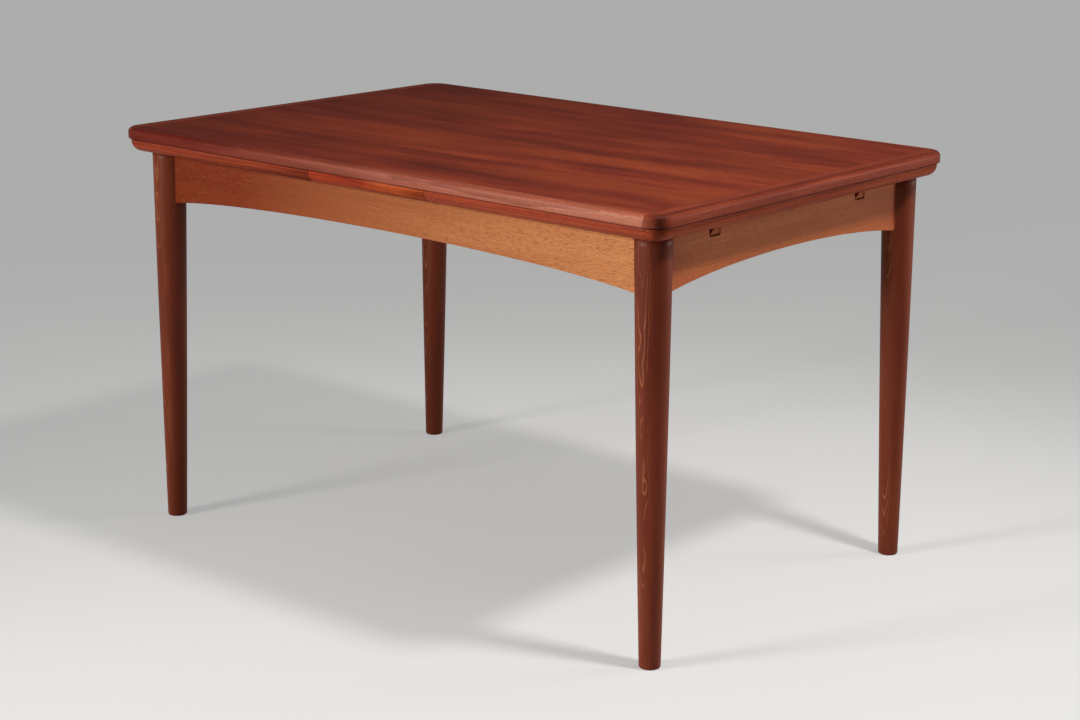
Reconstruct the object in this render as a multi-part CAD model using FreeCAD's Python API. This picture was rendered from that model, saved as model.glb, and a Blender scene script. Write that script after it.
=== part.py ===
import FreeCAD, Part
import math
import os
from FreeCAD import Placement, Rotation, Vector

# Overall sizes of the closed table, in millimetres
top_length = 1222.0
top_width = 818.0
table_height = 735.0

# Boards: the loose top, and the leaves and middle board that lie level under it
top_thickness = 20.5
leaf_thickness = 21.0
board_gap = 1.5
corner_radius = 36.0
top_edge_round = 9.0
top_under_round = 2.5
leaf_edge_inset = 5.0
leaf_edge_round = 18.5
leaf_upper_round = 1.2
end_lipping_width = 30.0
side_lipping_width = 12.0
leaf_lipping_width = 20.0
middle_board_length = 264.0
leaf_joint_gap = 1.0

# Legs: turned, tapered, and leaning slightly outwards
leg_inset_x = 58.0
leg_inset_y = 63.0
leg_top_diameter = 59.5
leg_foot_diameter = 35.0
leg_swell = 0.8
leg_splay_x = 11.0
leg_splay_y = 4.0
foot_round = 3.0

# Rails: tenoned into the legs, with arched lower edges
rail_thickness = 22.0
rail_depth = 92.0
arch_rise = 22.0
side_arch_span_share = 0.922
end_arch_span_share = 0.765
tenon_thickness = 10.0
tenon_height = 62.0
tenon_tip_inset = 12.0

# Fits between pieces
glue_clearance = 0.1
sliding_clearance = 0.3
peg_clearance = 0.3
cut_overrun = 5.0

# Runners: one pair under each leaf, the two pairs side by side
runner_row_inset = 130.0
runner_row_spacing = 35.0
runner_width = 26.0
runner_outer_depth = 19.3
runner_tail_depth = 21.5
runner_end_setback = 1.0
runner_bevel_width = 24.0
runner_bevel_length = 45.0
ramp_length = 55.0
ramp_heel = 10.0
tail_end_room = 51.0
tail_step_length = 40.0
stop_peg_diameter = 9.0
stop_peg_proud = 7.0
stop_peg_end_distance = 24.0

# Notches for the runners, in the end rails and the cross bearers
notch_depth = 21.5
notch_near_play = 0.8
notch_near_lean = 2.5
notch_far_play = 1.0
slot_play = 0.6

# Cross bearers under the middle board
bearer_spacing = 190.0
bearer_thickness = 24.0
bearer_bottom_margin = 18.0

# Corner blocks
block_leg = 85.0
block_end = 16.0
block_height = 50.0
block_drop = 8.0
block_screw_inset = 60.0
block_screw_seat = 20.0

# Pegs that guide the loose top, and the pads that it lies on
guide_peg_diameter = 18.0
guide_peg_inset = 78.0
guide_peg_length = 44.0
peg_chamfer = 2.0
felt_diameter = 26.0
felt_inset_x = 26.0
felt_inset_y = 54.0

# Countersunk wood screws
screw_diameter = 4.0
screw_head_diameter = 8.0
screw_head_height = 2.8
screw_point_length = 4.0
runner_screw_length = 31.0
bearer_screw_length = 42.0
block_screw_length = 33.0
screw_pocket_diameter = 11.0
bearer_screw_share = 0.63
runner_screw_shares = (0.10, 0.50, 0.90)

# Heights and half sizes that follow from the sizes above
half_length = top_length / 2
half_width = top_width / 2
leaf_half_width = half_width - leaf_edge_inset
leaf_end_x = half_length - leaf_edge_inset
top_bottom_z = table_height - top_thickness
leaf_top_z = top_bottom_z - board_gap
leaf_bottom_z = leaf_top_z - leaf_thickness
rail_top_z = leaf_bottom_z - sliding_clearance
rail_bottom_z = rail_top_z - rail_depth
leg_x = half_length - leg_inset_x
leg_y = half_width - leg_inset_y
rail_half = rail_thickness / 2
rail_inner_x = leg_x - rail_half
rail_inner_y = leg_y - rail_half
middle_half = middle_board_length / 2
leaf_inner_x = middle_half + leaf_joint_gap
bearer_x = bearer_spacing / 2
leaf_rise = top_thickness + board_gap
notch_floor_z = rail_top_z - notch_depth
tail_top_z = leaf_bottom_z - leaf_rise
tail_bottom_z = tail_top_z - runner_tail_depth
tail_end_x = tail_end_room - rail_inner_x
right_runner_y = rail_inner_y - runner_row_inset
left_runner_y = right_runner_y - runner_row_spacing
guide_peg_y = rail_inner_y - guide_peg_inset
bearer_screw_y = left_runner_y * bearer_screw_share

sides = (("left", -1), ("right", 1))
faces = (("front", -1), ("back", 1))
runner_rows = {"left": left_runner_y, "right": right_runner_y}


def block(x_a, x_b, y_a, y_b, z_a, z_b):
    """A box between two corners given in any order."""
    low = Vector(min(x_a, x_b), min(y_a, y_b), min(z_a, z_b))
    return Part.makeBox(abs(x_b - x_a), abs(y_b - y_a), abs(z_b - z_a), low)


def prism(points, depth):
    """A flat outline pushed along a vector."""
    wire = Part.makePolygon(points + points[:1])
    return Part.Face(wire).extrude(depth)


def edges_at(shape, height, keep):
    """The edges that lie at one height and whose middle passes a test."""
    chosen = []
    for edge in shape.Edges:
        box = edge.BoundBox
        flat = abs(box.ZMin - height) < glue_clearance and abs(box.ZMax - height) < glue_clearance
        if flat and keep(edge.CenterOfMass):
            chosen.append(edge)
    return chosen


def upright_edges(shape, keep):
    """The upright edges whose middle passes a test."""
    upright = [edge for edge in shape.Edges if edge.BoundBox.ZLength > edge.BoundBox.DiagonalLength / 2]
    return [edge for edge in upright if keep(edge.CenterOfMass)]


def save(name, shape):
    """Write one node to its own file."""
    solids = shape.Solids
    whole = solids[0] if len(solids) == 1 else Part.makeCompound(solids)
    whole.exportStep("parts/" + name + ".step")


def screw(length):
    """A countersunk screw along +Z, with its head face at the origin."""
    head = screw_head_diameter / 2
    shank = screw_diameter / 2
    outline = [
        Vector(0, 0, 0),
        Vector(head, 0, 0),
        Vector(shank, 0, screw_head_height),
        Vector(shank, 0, length - screw_point_length),
        Vector(0, 0, length),
    ]
    face = Part.Face(Part.makePolygon(outline + outline[:1]))
    return face.revolve(Vector(0, 0, 0), Vector(0, 0, 1), 360)


def placed(shape, place, direction):
    """A copy of a shape made along +Z, turned to a direction and moved to a place."""
    copy = shape.copy()
    copy.Placement = Placement(place, Rotation(Vector(0, 0, 1), direction))
    return copy


def rounded_board(x_a, x_b, y_half, z_round, z_other, large_round, small_round, plan_round, free_ends):
    """A board with rounded corners at its free ends, and its outline rounded at one height and eased at the other."""
    board = block(x_a, x_b, -y_half, y_half, z_round, z_other)

    def at_free_end(point):
        return any(abs(point.x - end) < plan_round for end in free_ends)

    def outline(point):
        return abs(point.y) > y_half / 2 or at_free_end(point)

    if free_ends:
        board = board.makeFillet(plan_round, upright_edges(board, at_free_end))
    board = board.makeFillet(large_round, edges_at(board, z_round, outline))
    return board.makeFillet(small_round, edges_at(board, z_other, outline))


# Legs
def leg_blank(side_x, side_y, growth):
    """One leg, leaning outwards, with its skin moved out by a growth."""
    top_point = Vector(side_x * leg_x, side_y * leg_y, rail_top_z)
    foot_point = Vector(side_x * (leg_x + leg_splay_x), side_y * (leg_y + leg_splay_y), 0)
    axis = top_point - foot_point
    length = axis.Length
    foot = leg_foot_diameter / 2 + growth
    top = leg_top_diameter / 2 + growth
    middle = (foot + top) / 2 + leg_swell
    below = Vector(foot, 0, -cut_overrun)
    above = Vector(top, 0, length + cut_overrun)
    skin = Part.Arc(below, Vector(middle, 0, length / 2), above).toShape()
    outline = Part.Wire([
        Part.LineSegment(Vector(0, 0, -cut_overrun), below).toShape(),
        skin,
        Part.LineSegment(above, Vector(0, 0, length + cut_overrun)).toShape(),
        Part.LineSegment(Vector(0, 0, length + cut_overrun), Vector(0, 0, -cut_overrun)).toShape(),
    ])
    turned = Part.Face(outline).revolve(Vector(0, 0, 0), Vector(0, 0, 1), 360)
    turned.rotate(Vector(0, 0, 0), Vector(0, 0, 1), math.degrees(math.atan2(side_y, side_x)))
    turned = placed(turned, foot_point, axis)
    reach = leg_top_diameter
    slab = block(
        foot_point.x - reach, foot_point.x + reach, foot_point.y - reach, foot_point.y + reach, 0, rail_top_z
    )
    return turned.common(slab)


def tenon(side_x, side_y, along_x, clearance):
    """The tenon of a rail inside a leg, or its mortise when it has a clearance."""
    half = tenon_thickness / 2 + clearance
    tip = tenon_tip_inset - clearance
    shoulder = leg_top_diameter / 2
    low = rail_top_z - rail_depth / 2 - tenon_height / 2 - clearance
    high = low + tenon_height + 2 * clearance
    if along_x:
        near, far = side_x * (leg_x - shoulder), side_x * (leg_x - tip)
        return block(near, far, side_y * leg_y - half, side_y * leg_y + half, low, high)
    near, far = side_y * (leg_y - shoulder), side_y * (leg_y - tip)
    return block(side_x * leg_x - half, side_x * leg_x + half, near, far, low, high)


def make_leg(side_x, side_y):
    """A front leg is the mirror image of the back leg on its side."""
    leg = leg_blank(side_x, 1, 0)
    leg = leg.makeFillet(foot_round, edges_at(leg, 0, lambda point: True))
    for along_x in (True, False):
        leg = leg.cut(tenon(side_x, 1, along_x, glue_clearance))
    return leg if side_y > 0 else leg.mirror(Vector(0, 0, 0), Vector(0, 1, 0))


# Rails
def arch(half_span, span_share):
    """The elliptical hollow under a rail, centred on the origin and lying along X."""
    drop_share = 1 - math.sqrt(1 - span_share ** 2)
    height = arch_rise / drop_share
    ellipse = Part.Ellipse(Vector(0, 0, 0), half_span / span_share, height).toShape()
    hollow = Part.Face(Part.Wire([ellipse])).extrude(Vector(0, 0, 2 * rail_thickness))
    hollow.Placement = Placement(
        Vector(0, rail_thickness, rail_bottom_z + arch_rise - height), Rotation(Vector(1, 0, 0), 90)
    )
    return hollow


def make_side_rail(side_y):
    y_mid = side_y * leg_y
    rail = block(-leg_x, leg_x, y_mid - rail_half, y_mid + rail_half, rail_bottom_z, rail_top_z)
    hollow = arch(leg_x - leg_top_diameter / 2, side_arch_span_share)
    hollow.translate(Vector(0, y_mid, 0))
    rail = rail.cut(hollow)
    for _, side_x in sides:
        rail = rail.cut(leg_blank(side_x, side_y, glue_clearance))
        stub = block(
            side_x * (leg_x - tenon_tip_inset), side_x * half_length, y_mid - rail_thickness, y_mid + rail_thickness,
            rail_bottom_z, rail_top_z,
        )
        rail = rail.cut(stub)
    rail = max(rail.Solids, key=lambda solid: solid.Volume)
    for _, side_x in sides:
        rail = rail.fuse(tenon(side_x, side_y, True, 0))
    for seat in block_screw_holes(side_y=side_y):
        rail = rail.cut(seat)
    return rail.removeSplitter()


def runner_notch(side_name, side_x, side_y):
    """The open notch in an end rail that a runner passes through, with its near wall leaning away."""
    middle = side_y * runner_rows[side_name]
    near = middle - runner_width / 2 - notch_near_play
    far = middle + runner_width / 2 + notch_far_play
    inner_x = side_x * (rail_inner_x - cut_overrun)
    points = [
        Vector(inner_x, near, notch_floor_z),
        Vector(inner_x, far, notch_floor_z),
        Vector(inner_x, far, rail_top_z + glue_clearance),
        Vector(inner_x, near - notch_near_lean, rail_top_z + glue_clearance),
    ]
    return prism(points, Vector(side_x * 2 * rail_thickness, 0, 0))


def make_end_rail(side_name, side_x):
    x_mid = side_x * leg_x
    rail = block(x_mid - rail_half, x_mid + rail_half, -leg_y, leg_y, rail_bottom_z, rail_top_z)
    hollow = arch(leg_y - leg_top_diameter / 2, end_arch_span_share)
    hollow.rotate(Vector(0, 0, 0), Vector(0, 0, 1), 90)
    hollow.translate(Vector(x_mid, 0, 0))
    rail = rail.cut(hollow)
    for _, side_y in faces:
        rail = rail.cut(leg_blank(side_x, side_y, glue_clearance))
        rail = rail.cut(runner_notch(side_name, side_x, side_y))
    rail = max(rail.Solids, key=lambda solid: solid.Volume)
    for _, side_y in faces:
        rail = rail.fuse(tenon(side_x, side_y, False, 0))
    for seat in block_screw_holes(side_x=side_x):
        rail = rail.cut(seat)
    return rail.removeSplitter()


# Corner blocks and their screws
def block_screw_places(side_x, side_y):
    """Where the two screws of one corner block start, and which way they point."""
    level = rail_top_z - block_drop - block_height / 2
    into_end = Vector(
        side_x * (rail_inner_x - block_screw_seat), side_y * (rail_inner_y - block_screw_inset), level
    )
    into_side = Vector(
        side_x * (rail_inner_x - block_screw_inset), side_y * (rail_inner_y - block_screw_seat), level
    )
    return (into_end, Vector(side_x, 0, 0)), (into_side, Vector(0, side_y, 0))


def block_screw_holes(side_x=None, side_y=None):
    """The holes that the corner blocks' screws need in the rail of one side."""
    holes = []
    for _, other in faces:
        corner_x = side_x if side_x else other
        corner_y = side_y if side_y else other
        place, direction = block_screw_places(corner_x, corner_y)[0 if side_x else 1]
        holes.append(Part.makeCylinder(
            screw_diameter / 2 + glue_clearance, block_screw_length + glue_clearance, place, direction
        ))
    return holes


def make_corner_block(side_x, side_y):
    low = rail_top_z - block_drop - block_height
    x_in, y_in = rail_inner_x, rail_inner_y
    outline = [
        (x_in, y_in),
        (x_in - block_leg, y_in),
        (x_in - block_leg, y_in - block_end),
        (x_in - block_end, y_in - block_leg),
        (x_in, y_in - block_leg),
    ]
    points = [Vector(side_x * x, side_y * y, low) for x, y in outline]
    brace = prism(points, Vector(0, 0, block_height))
    brace = brace.cut(leg_blank(side_x, side_y, glue_clearance))
    for place, direction in block_screw_places(side_x, side_y):
        head_room = screw_head_height + glue_clearance
        brace = brace.cut(Part.makeCylinder(screw_diameter / 2 + glue_clearance, block_leg, place, direction))
        brace = brace.cut(Part.makeCylinder(
            screw_pocket_diameter / 2, block_leg, place + direction * head_room, direction * -1
        ))
    return brace


def make_corner_block_screws():
    screws = []
    for _, side_x in sides:
        for _, side_y in faces:
            for place, direction in block_screw_places(side_x, side_y):
                screws.append(placed(screw(block_screw_length), place, direction))
    return Part.makeCompound(screws)


# Cross bearers with slots for the runners
def stop_side(side_name):
    """The stop pegs stand out on the side where the neighbouring runner isn't."""
    return 1 if side_name == "right" else -1


def runner_slot(bearer_side, leaf_name, leaf_side, side_y):
    """A slot in a bearer, wide enough for the stop peg where the other leaf's runner passes."""
    half = runner_width / 2 + slot_play
    row = runner_rows[leaf_name]
    low, high = row - half, row + half
    if bearer_side != leaf_side:
        spare = stop_peg_proud + slot_play
        low, high = (low, high + spare) if stop_side(leaf_name) > 0 else (low - spare, high)
    reach = bearer_x + bearer_thickness
    return block(
        0, bearer_side * reach, side_y * low, side_y * high,
        tail_bottom_z - sliding_clearance, rail_top_z + cut_overrun,
    )


def bearer_screw_places(side_x):
    seat_z = leaf_bottom_z + leaf_thickness / 2 - bearer_screw_length
    return [Vector(side_x * bearer_x, side_y * bearer_screw_y, seat_z) for _, side_y in faces]


def make_cross_bearer(side_x):
    low = rail_bottom_z + arch_rise + bearer_bottom_margin - rail_thickness / 2
    x_mid = side_x * bearer_x
    half = bearer_thickness / 2
    bearer = block(x_mid - half, x_mid + half, -rail_inner_y, rail_inner_y, low, leaf_bottom_z)
    for leaf_name, leaf_side in sides:
        for _, side_y in faces:
            bearer = bearer.cut(runner_slot(side_x, leaf_name, leaf_side, side_y))
    for place in bearer_screw_places(side_x):
        up = Vector(0, 0, 1)
        bearer = bearer.cut(Part.makeCylinder(screw_diameter / 2 + glue_clearance, bearer_screw_length, place, up))
        pocket_top = place + up * (screw_head_height + glue_clearance)
        bearer = bearer.cut(Part.makeCylinder(screw_pocket_diameter / 2, rail_depth, pocket_top, up * -1))
    return bearer


# Middle board, fixed between the leaves
def make_middle_board():
    board = rounded_board(
        -middle_half, middle_half, leaf_half_width, leaf_bottom_z, leaf_top_z,
        leaf_edge_round, leaf_upper_round, corner_radius, (),
    )
    up = Vector(0, 0, 1)
    for _, side_y in faces:
        hole_base = Vector(0, side_y * guide_peg_y, leaf_bottom_z - cut_overrun)
        board = board.cut(Part.makeCylinder(
            guide_peg_diameter / 2 + peg_clearance, leaf_thickness + 2 * cut_overrun, hole_base, up
        ))
    for _, side_x in sides:
        for place in bearer_screw_places(side_x):
            board = board.cut(Part.makeCylinder(
                screw_diameter / 2 + glue_clearance, bearer_screw_length + glue_clearance, place, up
            ))
    return board


def make_bearer_screws():
    up = Vector(0, 0, 1)
    places = [place for _, side_x in sides for place in bearer_screw_places(side_x)]
    return Part.makeCompound([placed(screw(bearer_screw_length), place, up) for place in places])


def make_felt_pads():
    pads = []
    for _, side_x in sides:
        for _, side_y in faces:
            place = Vector(
                side_x * (middle_half - felt_inset_x), side_y * (half_width - felt_inset_y), leaf_top_z
            )
            pads.append(Part.makeCylinder(felt_diameter / 2, board_gap - glue_clearance, place))
    return Part.makeCompound(pads)


def side_strip(side_y, outer_y, lipping_width):
    """The room that a front or back lipping takes along the whole table."""
    return block(
        -half_length, half_length, side_y * (outer_y - lipping_width), side_y * outer_y, 0, table_height
    )


def end_strip(side_x):
    """The room that an end lipping takes across the whole table."""
    return block(
        side_x * (half_length - end_lipping_width), side_x * half_length, -half_width, half_width, 0, table_height
    )


# Leaves
def make_leaf(side_name, side_x):
    """The veneered panel of a leaf and the three lippings round its free edges."""
    leaf = rounded_board(
        side_x * leaf_inner_x, side_x * leaf_end_x, leaf_half_width, leaf_bottom_z, leaf_top_z,
        leaf_edge_round, leaf_upper_round, corner_radius - leaf_edge_inset, (side_x * leaf_end_x,),
    )
    for place in runner_screw_places(side_name, side_x):
        leaf = leaf.cut(Part.makeCylinder(
            screw_diameter / 2 + glue_clearance, runner_screw_length + glue_clearance, place
        ))
    end_lipping = leaf.common(end_strip(side_x))
    rest = leaf.cut(end_strip(side_x))
    pieces = {"end_lipping": end_lipping}
    for face_name, side_y in faces:
        strip = side_strip(side_y, leaf_half_width, leaf_lipping_width)
        pieces[face_name + "_lipping"] = rest.common(strip)
        rest = rest.cut(strip)
    pieces["panel"] = rest
    return pieces


# Runners: a thin bar under the leaf, a ramp, and a deeper tail that is held under the middle board
def runner_outline():
    """The side of the right-hand runner, from its outer end round to its tail, as pairs of x and z."""
    outer_x = leg_x + rail_half - runner_end_setback
    outer_z = leaf_bottom_z - runner_outer_depth
    full_draw = half_length - leaf_inner_x
    heel_x = leg_x + rail_half - full_draw - ramp_heel
    return [
        (outer_x, leaf_bottom_z),
        (leaf_inner_x, leaf_bottom_z),
        (leaf_inner_x - tail_step_length, tail_top_z),
        (tail_end_x, tail_top_z),
        (tail_end_x, tail_bottom_z),
        (heel_x, tail_bottom_z),
        (heel_x + ramp_length, outer_z),
        (outer_x, outer_z),
    ]


def runner_screw_places(side_name, side_x):
    inner = leaf_inner_x + ramp_length
    outer = rail_inner_x
    level = leaf_bottom_z - runner_outer_depth
    places = []
    for _, side_y in faces:
        for share in runner_screw_shares:
            x = inner + (outer - inner) * share
            places.append(Vector(side_x * x, side_y * runner_rows[side_name], level))
    return places


def stop_peg_place(side_name, side_x, side_y):
    """The inner end of a stop peg, on the far face of its runner."""
    x = side_x * (tail_end_x + stop_peg_end_distance)
    outward = side_y * stop_side(side_name)
    y = side_y * runner_rows[side_name] - outward * runner_width / 2
    return Vector(x, y, (tail_top_z + tail_bottom_z) / 2), Vector(0, outward, 0)


def make_runner(side_name, side_x, side_y):
    y_low = side_y * runner_rows[side_name] - runner_width / 2
    points = [Vector(side_x * x, y_low, z) for x, z in runner_outline()]
    runner = prism(points, Vector(0, runner_width, 0))
    outer_x = side_x * runner_outline()[0][0]
    bevel = [
        Vector(outer_x, y_low, leaf_bottom_z),
        Vector(outer_x, y_low + runner_bevel_width, leaf_bottom_z),
        Vector(outer_x, y_low, leaf_bottom_z - runner_outer_depth),
    ]
    runner = runner.cut(prism(bevel, Vector(-side_x * runner_bevel_length, 0, 0)))
    for place in runner_screw_places(side_name, side_x):
        runner = runner.cut(Part.makeCylinder(screw_diameter / 2 + glue_clearance, runner_screw_length, place))
        head_radius = screw_head_diameter / 2 + glue_clearance
        runner = runner.cut(Part.makeCone(
            head_radius, screw_diameter / 2, screw_head_height + glue_clearance, place
        ))
    place, direction = stop_peg_place(side_name, side_x, side_y)
    return runner.cut(Part.makeCylinder(
        stop_peg_diameter / 2 + glue_clearance, runner_width, place, direction
    ))


def make_stop_pegs(side_name, side_x):
    pegs = []
    for _, side_y in faces:
        place, direction = stop_peg_place(side_name, side_x, side_y)
        pegs.append(Part.makeCylinder(stop_peg_diameter / 2, runner_width + stop_peg_proud, place, direction))
    return Part.makeCompound(pegs)


def make_runner_screws(side_name, side_x):
    up = Vector(0, 0, 1)
    places = runner_screw_places(side_name, side_x)
    return Part.makeCompound([placed(screw(runner_screw_length), place, up) for place in places])


# The loose top and its guide pegs
def make_top():
    """The veneered panel of the top and the four lippings round it."""
    board = rounded_board(
        -half_length, half_length, half_width, table_height, top_bottom_z,
        top_edge_round, top_under_round, corner_radius, (-half_length, half_length),
    )
    pieces = {}
    for side_name, side_x in sides:
        pieces["end_lipping_" + side_name] = board.common(end_strip(side_x))
        board = board.cut(end_strip(side_x))
    for face_name, side_y in faces:
        strip = side_strip(side_y, half_width, side_lipping_width)
        pieces["side_lipping_" + face_name] = board.common(strip)
        board = board.cut(strip)
    pieces["panel"] = board
    return pieces


def make_guide_peg(side_y):
    base = Vector(0, side_y * guide_peg_y, top_bottom_z - guide_peg_length)
    peg = Part.makeCylinder(guide_peg_diameter / 2, guide_peg_length, base)
    return peg.makeChamfer(peg_chamfer, edges_at(peg, base.z, lambda point: True))


os.makedirs("parts", exist_ok=True)

for face_name, side_y in faces:
    save("side_rail_" + face_name, make_side_rail(side_y))
    save("top_guide_peg_" + face_name, make_guide_peg(side_y))
    for side_name, side_x in sides:
        corner = face_name + "_" + side_name
        save("leg_" + corner, make_leg(side_x, side_y))
        save("corner_block_" + corner, make_corner_block(side_x, side_y))
        save("leaf_" + side_name + "_runner_" + face_name, make_runner(side_name, side_x, side_y))

for side_name, side_x in sides:
    save("end_rail_" + side_name, make_end_rail(side_name, side_x))
    save("cross_bearer_" + side_name, make_cross_bearer(side_x))
    save("leaf_" + side_name + "_runner_screws", make_runner_screws(side_name, side_x))
    save("leaf_" + side_name + "_stop_pegs", make_stop_pegs(side_name, side_x))
    for piece_name, piece in make_leaf(side_name, side_x).items():
        save("leaf_" + side_name + "_" + piece_name, piece)

middle_board = make_middle_board()
for face_name, side_y in faces:
    strip = side_strip(side_y, leaf_half_width, leaf_lipping_width)
    save("middle_board_lipping_" + face_name, middle_board.common(strip))
    middle_board = middle_board.cut(strip)
save("middle_board_panel", middle_board)
save("middle_board_screws", make_bearer_screws())
save("corner_block_screws", make_corner_block_screws())
save("felt_pads", make_felt_pads())

for piece_name, piece in make_top().items():
    save("top_" + piece_name, piece)
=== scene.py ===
import math
import bmesh
import bpy
from mathutils import Matrix, Vector


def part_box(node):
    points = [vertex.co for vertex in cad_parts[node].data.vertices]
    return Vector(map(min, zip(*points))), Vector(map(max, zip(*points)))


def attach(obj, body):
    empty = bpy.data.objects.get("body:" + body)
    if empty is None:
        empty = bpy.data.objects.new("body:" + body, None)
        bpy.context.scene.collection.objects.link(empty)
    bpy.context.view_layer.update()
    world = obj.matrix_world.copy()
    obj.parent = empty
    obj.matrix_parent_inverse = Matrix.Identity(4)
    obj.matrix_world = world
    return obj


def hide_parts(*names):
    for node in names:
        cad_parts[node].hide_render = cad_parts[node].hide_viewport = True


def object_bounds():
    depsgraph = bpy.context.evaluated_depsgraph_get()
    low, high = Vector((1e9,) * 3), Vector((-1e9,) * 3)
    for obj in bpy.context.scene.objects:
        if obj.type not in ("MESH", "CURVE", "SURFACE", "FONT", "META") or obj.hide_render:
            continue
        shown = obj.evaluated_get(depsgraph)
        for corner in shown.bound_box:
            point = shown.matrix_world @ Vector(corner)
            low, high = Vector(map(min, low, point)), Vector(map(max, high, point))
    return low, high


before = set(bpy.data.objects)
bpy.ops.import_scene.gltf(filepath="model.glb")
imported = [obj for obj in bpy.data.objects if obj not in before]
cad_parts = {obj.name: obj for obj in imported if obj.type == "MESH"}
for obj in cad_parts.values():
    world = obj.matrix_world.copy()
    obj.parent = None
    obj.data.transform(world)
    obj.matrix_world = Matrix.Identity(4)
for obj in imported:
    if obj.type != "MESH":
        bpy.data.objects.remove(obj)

cad_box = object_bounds()

# The four legs are turned from solid hardwood and stained a dark red-brown, each leaning slightly outwards.
# They swell a little and taper to a rounded foot. The rails are tenoned into them near the top, out of sight.
leg_top_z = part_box("leg_front_right")[1][2]
leg_top_radius = 0.05950 / 2
leg_foot_radius = 0.0350 / 2
leg_swell = 0.0008
foot_round = 0.003
leg_sides, round_rings, shaft_rings = 72, 10, 48
leg_axis_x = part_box("leg_front_right")[1][0] - leg_top_radius
leg_axis_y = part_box("leg_back_right")[1][1] - leg_top_radius
leg_lean_x, leg_lean_y = 0.011, 0.004
pith_offset = 0.085


def tone(red, green, blue):
    """A colour as it looks, from 0 to 255, in the linear form that a shader takes."""
    shares = [value / 255 for value in (red, green, blue)]
    return tuple(s / 12.92 if s < 0.04045 else ((s + 0.055) / 1.055) ** 2.4 for s in shares) + (1.0,)


def grey(value):
    return (value, value, value, 1.0)


def node_in(tree, kind, links=(), **settings):
    """A node in a tree, with its properties set and its inputs linked or given a value."""
    node = tree.nodes.new(kind)
    for key, value in settings.items():
        setattr(node, key, value)
    for socket, value in links:
        if isinstance(value, bpy.types.NodeSocket):
            tree.links.new(value, node.inputs[socket])
        else:
            node.inputs[socket].default_value = value
    return node


def figure(tree, operation, *values):
    """A sum in a tree, from numbers and sockets."""
    return node_in(tree, "ShaderNodeMath", tuple(enumerate(values)), operation=operation).outputs[0]


def part_of(tree, vector, axis):
    return node_in(tree, "ShaderNodeSeparateXYZ", (("Vector", vector),)).outputs[axis]


def size_of(tree, vector, axis):
    return figure(tree, "ABSOLUTE", part_of(tree, vector, axis))


def spread(tree, value, start, end, low=0.0, high=1.0):
    """A value that goes from low to high while another goes from start to end."""
    return node_in(tree, "ShaderNodeMapRange", (
        ("Value", value), ("From Min", start), ("From Max", end), ("To Min", low), ("To Max", high),
    )).outputs["Result"]


def ramp(tree, source, stops):
    """A colour ramp over a value, from pairs of position and colour."""
    node = node_in(tree, "ShaderNodeValToRGB", (("Fac", source),))
    elements = node.color_ramp.elements
    while len(elements) < len(stops):
        elements.new(1.0)
    for element, (position, colour) in zip(elements, stops):
        element.position = position
        element.color = colour
    return node.outputs["Color"]


def blend(tree, kind, factor, below, above):
    """One colour laid over another, by a share that is a number or comes from a node."""
    factor_socket, below_socket, above_socket, colour_socket = 0, 6, 7, 2
    return node_in(tree, "ShaderNodeMix", (
        (factor_socket, factor), (below_socket, below), (above_socket, above),
    ), data_type="RGBA", blend_type=kind).outputs[colour_socket]


def speckle(tree, place, scale_along, scale_across, detail):
    """Noise stretched along the grain."""
    stretch = node_in(tree, "ShaderNodeMapping", (
        ("Vector", place), ("Scale", (scale_along, scale_across, scale_across)),
    ))
    return node_in(tree, "ShaderNodeTexNoise", (
        ("Vector", stretch.outputs["Vector"]), ("Scale", 1.0), ("Detail", detail),
    )).outputs


def new_finish(name):
    """A new finish, its tree, and the inputs of its shader."""
    finish = bpy.data.materials.new(name)
    finish.use_nodes = True
    return finish, finish.node_tree, finish.node_tree.nodes["Principled BSDF"].inputs


def sheets_of(tree, along, width):
    """The grain's place, shifted by chance from one sheet of veneer to the next, and each sheet's chance."""
    first_sheet, shift_reach = 20.37, (0.9, 0.10, 0.02)
    count = figure(tree, "MULTIPLY_ADD", part_of(tree, along, "Y"), 1 / width, first_sheet)
    chance = node_in(tree, "ShaderNodeTexWhiteNoise", (
        ("W", figure(tree, "FLOOR", count)),
    ), noise_dimensions="1D").outputs
    shift = node_in(tree, "ShaderNodeVectorMath", (
        (0, chance["Color"]), (1, shift_reach),
    ), operation="MULTIPLY")
    moved = node_in(tree, "ShaderNodeVectorMath", ((0, along), (1, shift.outputs["Vector"])), operation="ADD")
    return moved.outputs["Vector"], chance["Value"]


def pale_lines(tree, place, rings, drift):
    """Where thin pale lines follow the growth rings, broken along the grain, on the flat cut faces only."""
    line_strength = 0.42
    thin = ramp(tree, rings, [(0.0, grey(0.0)), (0.66, grey(0.0)), (0.82, grey(1.0)), (0.97, grey(0.0))])
    patches = speckle(tree, drift, 7.0, 45.0, 2.0)["Fac"]
    broken = ramp(tree, patches, [(0.46, grey(0.0)), (0.60, grey(line_strength))])
    flat_cut = ramp(tree, size_of(tree, place["Normal"], "Y"), [(0.78, grey(0.0)), (0.94, grey(1.0))])
    return blend(tree, "MULTIPLY", 1.0, blend(tree, "MULTIPLY", 1.0, thin, broken), flat_cut)


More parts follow.
